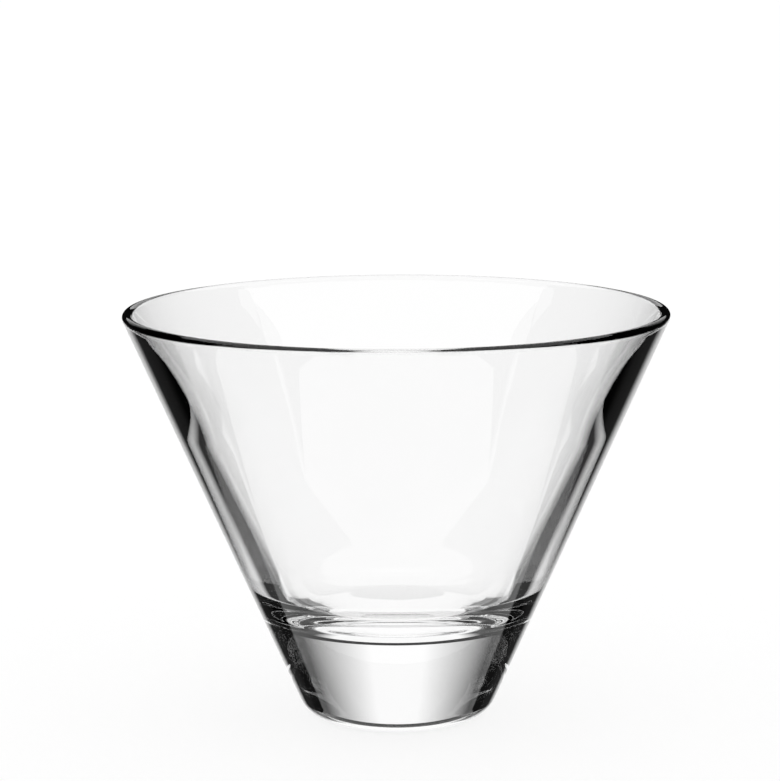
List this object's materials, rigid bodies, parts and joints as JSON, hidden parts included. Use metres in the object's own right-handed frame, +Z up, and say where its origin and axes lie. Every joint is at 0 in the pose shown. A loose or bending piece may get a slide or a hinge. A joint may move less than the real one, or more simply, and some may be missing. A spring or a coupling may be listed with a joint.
{
  "type": "stemless cocktail glass",
  "caption": "Stemless conical cocktail glass: a wide rounded lip, a straight flaring wall and a thick solid base that stands on a flat ring, for holding a drink.",
  "frame": {"origin": "centre of the foot, on the surface that the glass stands on", "axes": "+Z up along the glass's axis of revolution; X and Y are level and interchangeable"},
  "size_m": [0.116, 0.116, 0.088],
  "materials": {
    "clear_glass": "fire-polished"
  },
  "bodies": {
    "root": {"base": "clear_glass", "bowl": "clear_glass"}
  },
  "joints": []
}
